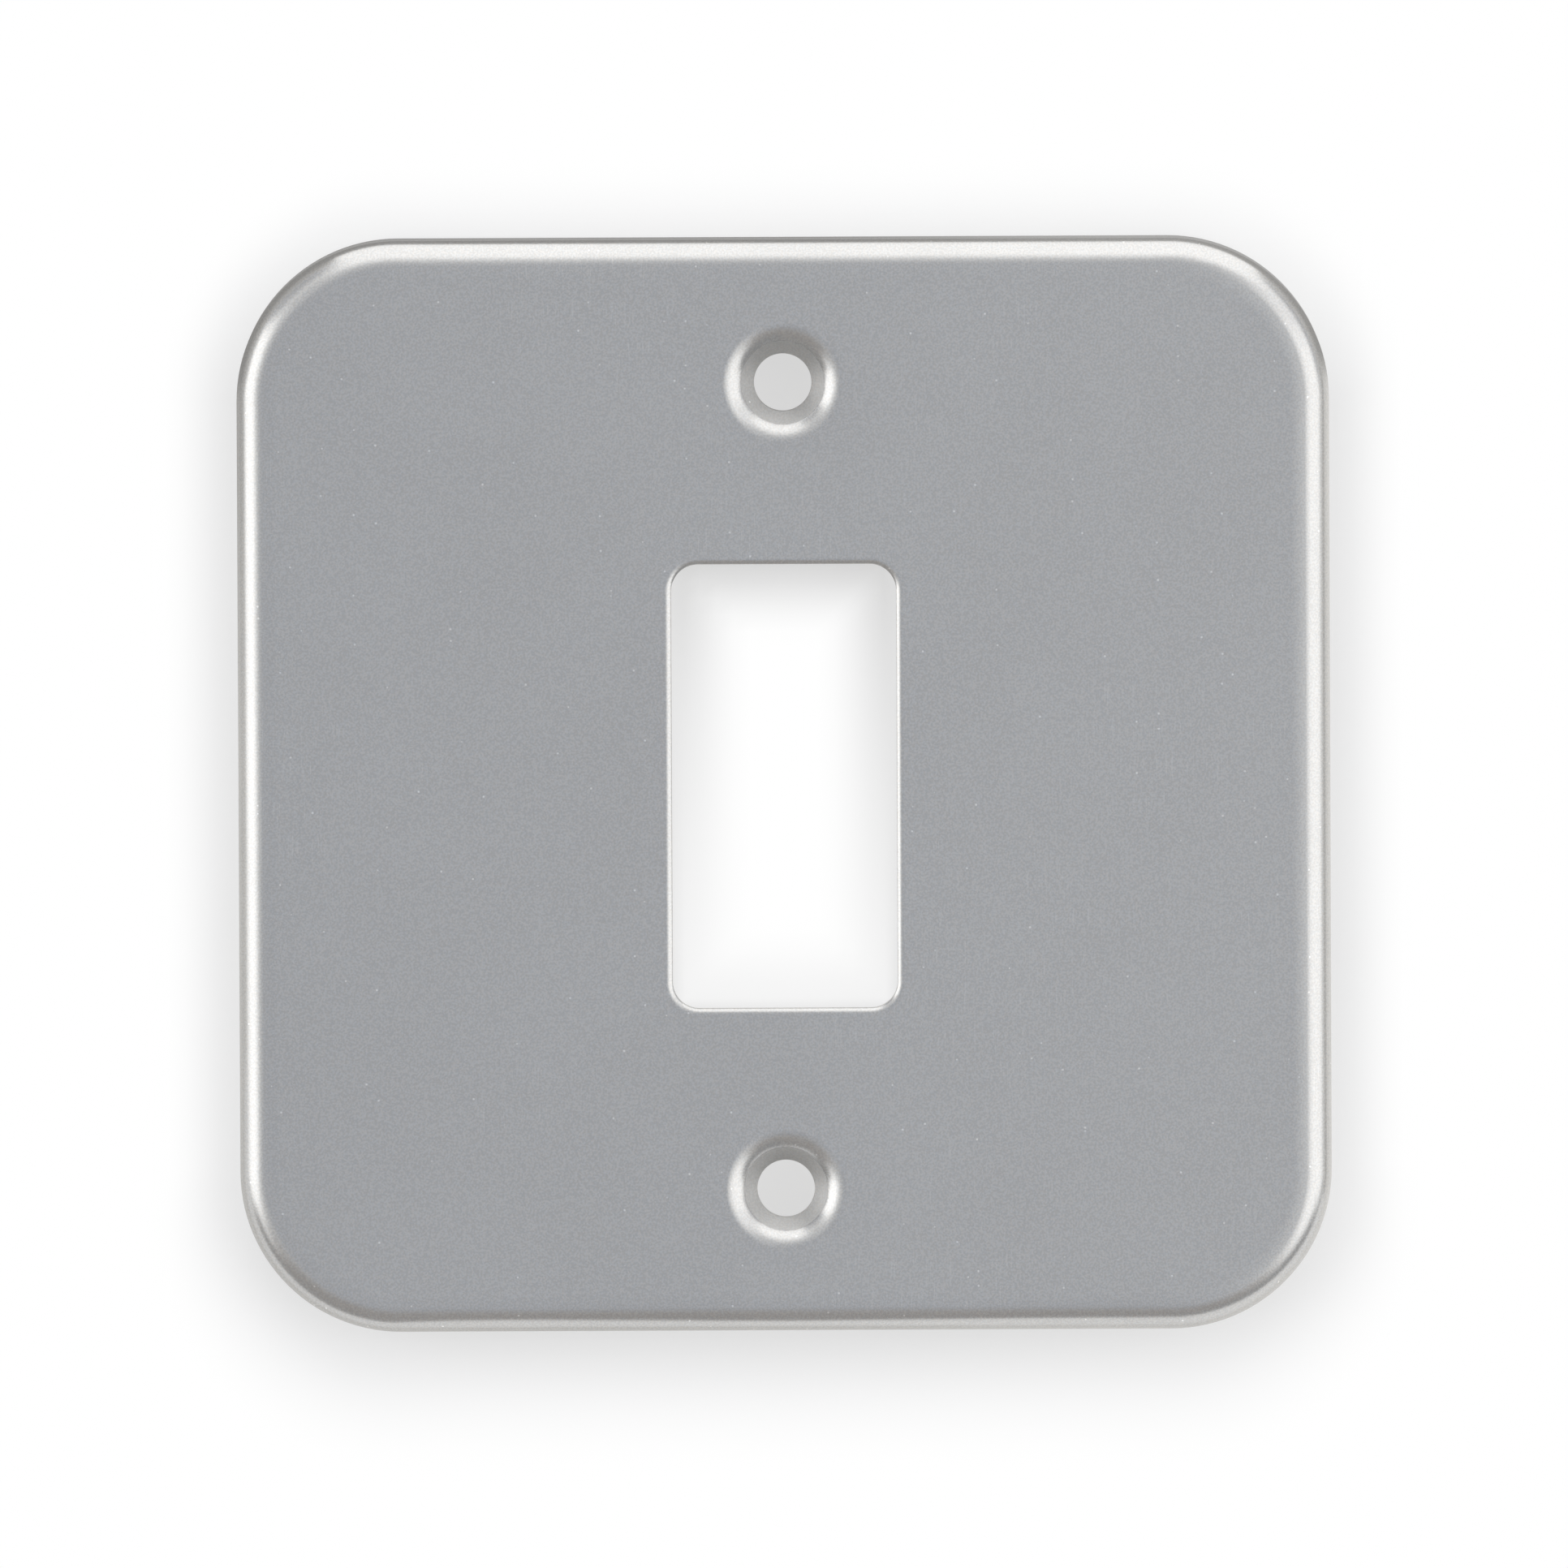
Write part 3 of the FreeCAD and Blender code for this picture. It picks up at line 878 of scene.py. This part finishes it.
# %% Shadow on the floor
UNDER_SHARE = 0.57
UNDER_START = -4 * MM
UNDER_FADE = 3 * MM
EDGE_SHARE = 0.42
LEFT_SHARE = 0.53
BACK_SHARE = 0.53
BACK_CORNER_SHARE = 0.61
OPENING_TOP_SHARE = 0.48
OPENING_FOOT_SHARE = 0.82
SHADOW_REACH = 5.8 * MM
FRONT_REACH = 11 * MM
OPENING_REACH = 6 * MM


def past_outline(x, y, half_width, half_height, radius):
    """How far a point lies outside a rounded rectangle, and in which direction."""
    inner_x = half_width - radius
    inner_y = half_height - radius
    aside = Vector((x - min(max(x, -inner_x), inner_x), y - min(max(y, -inner_y), inner_y)))
    if aside.length == 0:
        return -radius, Vector((0, 0))
    return aside.length - radius, aside.normalized()


def inside_opening(x, y):
    """How far a point lies inside the nearest side of the opening."""
    return min(APERTURE_WIDTH / 2 - abs(x), APERTURE_HEIGHT / 2 - abs(y))


def shadow_share(x, y):
    """How much of the floor glows at a point. The rest is matt and takes the shadow."""
    outside, direction = past_outline(x, y, HALF_WIDTH, HALF_HEIGHT, CORNER_RADIUS)
    inside = inside_opening(x, y)
    if inside > 0:
        edge_share = between(OPENING_TOP_SHARE, OPENING_FOOT_SHARE, 0.5 - y / APERTURE_HEIGHT)
        return between(edge_share, 1.0, rise(inside, OPENING_REACH))
    edge_share = between(EDGE_SHARE, LEFT_SHARE, max(0, -direction.x) ** 2)
    edge_share = between(edge_share, BACK_SHARE, max(0, direction.y))
    edge_share = between(edge_share, BACK_CORNER_SHARE, max(0, 2 * abs(direction.x) * direction.y))
    reach = between(SHADOW_REACH, FRONT_REACH, max(0, -direction.y))
    if outside < 0:
        return between(UNDER_SHARE, edge_share, rise(outside - UNDER_START, UNDER_FADE))
    return between(edge_share, 1.0, rise(outside, reach))


print("share that glows at the left edge:", round(shadow_share(-HALF_WIDTH, 0), 2))

# %% [markdown]
# The skirt and its bend mirror the floor too, and for them the floor glows with a
# painted reflection, which only the metal sees: to the camera it stays white. It has a
# painted shade behind the plate, and a painted grey stretch to its right, which draws
# the thin dark line beside the right highlight. Right beside the plate it has painted
# extra light, because only the steep foot of the bend mirrors that part, and steel
# mirrors least at a flat angle. The rolled edge of the opening shows the floor inside
# it, which has painted extra light for the same reason. Each tone starts with its value
# at the plate, and each of its fades takes it over to another value further out.

# %% Painted reflection: tones of the floor in the metal
Fade = namedtuple("Fade", "start width tone")
# These tones are painted reflections, seen only in the metal: painted shade behind the plate, a painted
# grey stretch at the right, and painted extra light near the plate and in the opening
BEHIND_PAINTED_SHADE = 0.40
BEHIND_FADES = [Fade(5 * MM, 26 * MM, 0.62), Fade(90 * MM, 120 * MM, 0.8)]
BEHIND_RIGHTWARDS = [Fade(0, 25 * MM, 1.2)]
FRONT_TONE = 0.79
FRONT_FADES = [Fade(4 * MM, 28 * MM, 1.0)]
FRONT_RIGHTWARDS = [Fade(0, 30 * MM, 1.12)]
LEFT_TONE = 0.80
LEFT_FADES = [Fade(60 * MM, 90 * MM, 1.0)]
LEFT_BACKWARDS = [Fade(0, 34 * MM, 0.73)]
RIGHT_TONE = 1.02
RIGHT_FADES = [Fade(18 * MM, 14 * MM, 0.56), Fade(90 * MM, 60 * MM, 1.0)]
OPENING_FADES = [Fade(-2 * MM, 2 * MM, 1.12)]
NEAR_LIFT = 1.42
NEAR_FADES = [Fade(0, 13 * MM, 1.0)]
# Where a side's tone turns into the tone behind the plate, by the direction outwards
RIGHT_TURN = (0.04, 0.24)
LEFT_TURN = (0, 0.15)


def faded(tone, fades, distance):
    """A tone after its fades, at some distance."""
    for fade in fades:
        tone = between(tone, fade.tone, rise(distance - fade.start, fade.width))
    return tone


def painted_reflection_tone(x, y):
    """How bright the floor's painted reflection is at a point where metal mirrors it."""
    outside, direction = past_outline(x, y, HALF_WIDTH, HALF_HEIGHT, CORNER_RADIUS)
    left = faded(LEFT_TONE, LEFT_FADES, outside) * faded(1.0, LEFT_BACKWARDS, y)
    if outside < -SHEET:
        return faded(left, OPENING_FADES, inside_opening(x, y))
    near = faded(NEAR_LIFT, NEAR_FADES, outside)
    side = faded(RIGHT_TONE, RIGHT_FADES, outside) if direction.x > 0 else left
    if direction.y > 0:
        behind = faded(BEHIND_PAINTED_SHADE, BEHIND_FADES, outside) * faded(1.0, BEHIND_RIGHTWARDS, x)
        start, width = RIGHT_TURN if direction.x > 0 else LEFT_TURN
        return near * between(side, behind, rise(direction.y - start, width))
    front = faded(FRONT_TONE, FRONT_FADES, outside) * faded(1.0, FRONT_RIGHTWARDS, x)
    return near * between(side, front, direction.y**2)


print("tone close behind the plate:", round(painted_reflection_tone(0, HALF_HEIGHT), 2))

# %% Stage: floor
WHITE = (1, 1, 1, 1)
WARM_WHITE = (1.01, 1.0, 0.98)
MATT_WHITE = (0.82, 0.82, 0.82, 1)
FLOOR_HALF = 20.0
FLOOR_GAP = 0.01 * MM
FINE_HALF = 105 * MM
FINE_COUNT = 168
COARSE = [0.13, 0.17, 0.25, 0.5, 2.0, FLOOR_HALF]


def floor_material():
    """White to the camera, a painted reflection to the metal, part matt near the plate and clear from
    below.
    """
    material, tree, surface = plain_tree("white_floor")
    ray = add_node(tree, "ShaderNodeLightPath").outputs
    seen = maths(tree, "MAXIMUM", ray["Is Camera Ray"], ray["Is Transmission Ray"])
    share = add_node(tree, "ShaderNodeSeparateColor", {"Color": layer_colour(tree, "share")})
    glowing = maths(tree, "MULTIPLY", seen, share.outputs["Red"])
    glowing = maths(tree, "MAXIMUM", glowing, ray["Is Glossy Ray"])
    # Glossy rays see the painted reflection tones, all other rays see white
    tones = {"Factor": ray["Is Glossy Ray"], "A": WHITE, "B": layer_colour(tree, "mirrored")}
    colour = add_node(tree, "ShaderNodeMix", tones, data_type="RGBA")
    matt = add_node(tree, "ShaderNodeBsdfDiffuse", {"Color": MATT_WHITE})
    shine = add_node(tree, "ShaderNodeEmission", {"Color": colour.outputs["Result"], "Strength": 1.0})
    clear = add_node(tree, "ShaderNodeBsdfTransparent")
    lit = add_node(tree, "ShaderNodeMixShader", {"Fac": glowing, 1: matt.outputs[0], 2: shine.outputs[0]})
    below = add_node(tree, "ShaderNodeNewGeometry").outputs["Backfacing"]
    both = add_node(tree, "ShaderNodeMixShader", {"Fac": below, 1: lit.outputs[0], 2: clear.outputs[0]})
    tree.links.new(both.outputs[0], surface)
    return material


def make_floor():
    """A grid that is fine near the plate and coarse far out, with both tones at its points."""
    fine = steps_between(-FINE_HALF, FINE_HALF, FINE_COUNT)
    lines = [-far for far in reversed(COARSE)] + fine + COARSE
    points = [(x, y, 0) for y in lines for x in lines]
    share = [[shadow_share(x, y)] * 3 for x, y, z in points]
    mirrored = [[part * painted_reflection_tone(x, y) for part in WARM_WHITE] for x, y, z in points]
    layers = {"share": share, "mirrored": mirrored}
    floor = stage_piece("floor", points, grid_faces(len(lines), len(lines)), layers, floor_material())
    floor.location.z = RIM - FLOOR_GAP
    return floor


floor = make_floor()
print("floor:", len(floor.data.polygons), "faces")

# %% [markdown]
# ## Light tent
#
# Small shiny things are photographed in a tent: white cloth all round, lit from the
# outside, with grey and dark cards where the metal should look darker. This tent is one
# dome over the plate. Each patch of it is given by the compass direction that it stands
# in, how far it reaches to either side, and how far off the vertical it starts and ends.
# The grey ceiling is what the flat face mirrors, and it is kept darker than the sides,
# so that the face reads as metal. The bright cards at the left, the right and the back
# draw the highlights on the bends, and the dark card in front draws the dark line along
# the lower edge.
#
# The smaller patches serve the round corners, where a short piece of bend mirrors many
# directions. The gap parts the left highlight from the upper one. The grey feet end a
# card before it reaches the floor. The veil is a thinner white beside the back card,
# and the dark lines at the lower right are seams and edges of the cloth.

# %% Patches of the tent
# Directions and fades are in degrees: 0 is right, 90 is back, and straight up is a start of 0
Patch = namedtuple("Patch", "name towards spread start start_fade end end_fade light")
SIDE_FADE = 6
ALL_ROUND = (-200, 200)
TENT_WHITE = (1.0, 1.0, 1.0)
PATCHES = [
    Patch("grey_ceiling", 0, ALL_ROUND, -20, 1, 37, 8, (0.501, 0.526, 0.572)),
    Patch("left_spill", 180, (-60, 60), 2, 30, 50, 10, (0.74, 0.75, 0.76)),
    Patch("right_spill", 0, (-60, 60), -2, 20, 50, 10, (0.94, 0.95, 0.96)),
    Patch("back_spill", 90, (-60, 60), 4, 24, 50, 10, (0.73, 0.74, 0.76)),
    Patch("left_card", 180, (-33, 22), 22, 30, 88.5, 2, (1.86, 1.86, 1.86)),
    Patch("right_card", 0, (-42, 44), 5, 30, 80.5, 3, (1.58, 1.58, 1.58)),
    Patch("back_card", 90, (-44, 30), 21, 34, 120, 3, (1.58, 1.58, 1.58)),
    Patch("back_left_gap", 133, (-20, 20), 34, 56, 120, 3, (0.56, 0.575, 0.605)),
    Patch("left_high_foot", 163, (-13, 15), 77, 10, 120, 3, (0.62, 0.62, 0.62)),
    Patch("left_low_foot", 191, (-9, 9), 72, 12, 120, 3, (0.7, 0.7, 0.7)),
    Patch("back_right_veil", 36, (-16, 14), 14, 20, 120, 3, (1.27, 1.275, 1.29)),
    Patch("back_right_foot", 28, (-26, 24), 68, 15, 120, 3, (0.61, 0.62, 0.645)),
    Patch("dark_front", -90, (-60, 44), 14, 26, 88, 4, (0.455, 0.44, 0.43)),
    Patch("dark_low_right", -45, (-45, 18), 42, 22, 120, 3, (0.4, 0.405, 0.41)),
    Patch("right_low_line", -25, (-12, 9), 54, 18, 120, 3, (0.38, 0.385, 0.39)),
    Patch("right_thin_line", -14, (-8, 8), 74, 12, 120, 3, (0.45, 0.455, 0.46)),
    Patch("dark_low_left", 225, (-32, 45), 56, 16, 120, 3, (0.43, 0.425, 0.42)),
]


def tent_light(compass, tilt):
    """The tent's light in one direction: each patch is laid over the ones before it."""
    light = Vector(TENT_WHITE)
    for patch in PATCHES:
        aside = (compass - patch.towards + 180) % 360 - 180
        cover = rise(aside - patch.spread[0], SIDE_FADE) * rise(patch.spread[1] - aside, SIDE_FADE)
        cover *= rise(tilt - patch.start, patch.start_fade) * rise(patch.end - tilt, patch.end_fade)
        light = light.lerp(Vector(patch.light), cover)
    return light


# %% Stage: tent
TENT_RADIUS = 3.3
TENT_FOOT = 92.0
TENT_ROWS = 62
TENT_COLUMNS = 144


def glow_material(name):
    material, tree, surface = plain_tree(name)
    shine = add_node(tree, "ShaderNodeEmission", {"Color": layer_colour(tree, "glow"), "Strength": 1.0})
    tree.links.new(shine.outputs[0], surface)
    return material


def make_tent():
    tilts = steps_between(0, TENT_FOOT, TENT_ROWS)
    compass = steps_between(0, 360, TENT_COLUMNS)
    points, glow = [], []
    for tilt in tilts:
        level = TENT_RADIUS * math.sin(math.radians(tilt))
        height = TENT_RADIUS * math.cos(math.radians(tilt))
        for angle in compass:
            turn = math.radians(angle)
            points.append((level * math.cos(turn), level * math.sin(turn), height))
            glow.append(tent_light(angle, tilt))
    faces = grid_faces(len(tilts), len(compass))
    tent = stage_piece("tent", points, faces, {"glow": glow}, glow_material("tent_cloth"))
    tent.visible_camera = False
    return tent


tent = make_tent()
print("tent:", len(tent.data.polygons), "faces toned by", [patch.name for patch in PATCHES])

# %% [markdown]
# The highlight on the upper bend starts very low, so the back card of the tent isn't
# enough for it: the floor would hide its foot. A low strip of the same white card
# stands close behind the plate, only a little higher than the plate itself. A second
# strip stands in front and bends round both lower corners. It draws the light band
# under the dark line along the lower edge, and it is too low for the countersinks to
# mirror it. Its upper edge is cut in a shallow wave, as the band in the photograph is.

# %% Stage: low strips
# Each place on a strip: how far across, how far back and how high, in millimetres
BACK_STRIP = [(-39, 51.8, 12), (46, 51.8, 12)]
FRONT_STRIP = [(-61, -22, 8), (-56, -44, 9.5), (-42, -57, 10), (-31, -61, 11.5), (-24, -61, 17),
               (-17, -61, 16.5), (0, -61, 12), (18, -61, 16), (36, -60, 17.5), (46, -56, 15),
               (52, -50, 12.5), (57, -42, 9.5), (59, -35, 7.5)]
BACK_LIGHTS = (1.57, 1.57)
FRONT_LIGHTS = (0.95, 1.08)


def make_strip(name, places, lights):
    """An upright card that stands on the floor, with its light changing from end to end."""
    points = [(x * MM, y * MM, RIM) for x, y, height in places]
    points += [(x * MM, y * MM, RIM + height * MM) for x, y, height in places]
    along = steps_between(*lights, len(places) - 1)
    glow = [(light, light, light) for light in along + along]
    faces = grid_faces(2, len(places))
    strip = stage_piece(name, points, faces, {"glow": glow}, glow_material(name + "_card"))
    strip.visible_camera = False


make_strip("back_strip", BACK_STRIP, BACK_LIGHTS)
make_strip("front_strip", FRONT_STRIP, FRONT_LIGHTS)
print("low strips:", len(BACK_STRIP), "and", len(FRONT_STRIP), "places long")

# %% [markdown]
# The world is plain white and at plain strength. It lights whatever the tent leaves
# open, and it keeps the background white beyond the end of the floor.

# %% World
world = bpy.data.worlds.new("white_world")
bpy.context.scene.world = world
world.use_nodes = True
background = world.node_tree.nodes["Background"]
background.inputs["Color"].default_value = WHITE
background.inputs["Strength"].default_value = 1.0
print("world:", world.name)

# %% [markdown]
# ## Camera
#
# The plate is seen almost straight on. A long lens from far away keeps its sides nearly
# parallel. The camera leans a little towards the upper edge: that is why the opening
# and the screw holes sit slightly low inside the outline, and why the sides come
# together slightly towards the bottom. The distance and the lens together set how
# much of the picture the plate fills: seven tenths of its width.

# %% Camera
CAMERA_DISTANCE = 2.6
CAMERA_LEAN = 2.8
CAMERA_ROLL = -0.25
AIM = Vector((-0.032 * MM, 0.185 * MM, FACE))
PICTURE_PIXELS = 1932
PLATE_PIXELS = 1345.6
PLATE_SHARE = PLATE_PIXELS / PICTURE_PIXELS
SENSOR = 36.0

camera_data = bpy.data.cameras.new("camera")
camera_data.sensor_width = SENSOR
seen_width = 2 * HALF_WIDTH / PLATE_SHARE
camera_data.lens = SENSOR * (CAMERA_DISTANCE + BEND_OUTSIDE) / seen_width
camera = bpy.data.objects.new("camera", camera_data)
bpy.context.collection.objects.link(camera)
camera.rotation_euler = (math.radians(-CAMERA_LEAN), 0, math.radians(CAMERA_ROLL))
camera.location = AIM + camera.rotation_euler.to_matrix() @ Vector((0, 0, CAMERA_DISTANCE))
bpy.context.scene.camera = camera
bpy.context.scene.view_settings.view_transform = "Standard"
print("camera:", round(camera_data.lens), "mm lens,", CAMERA_DISTANCE, "m away")
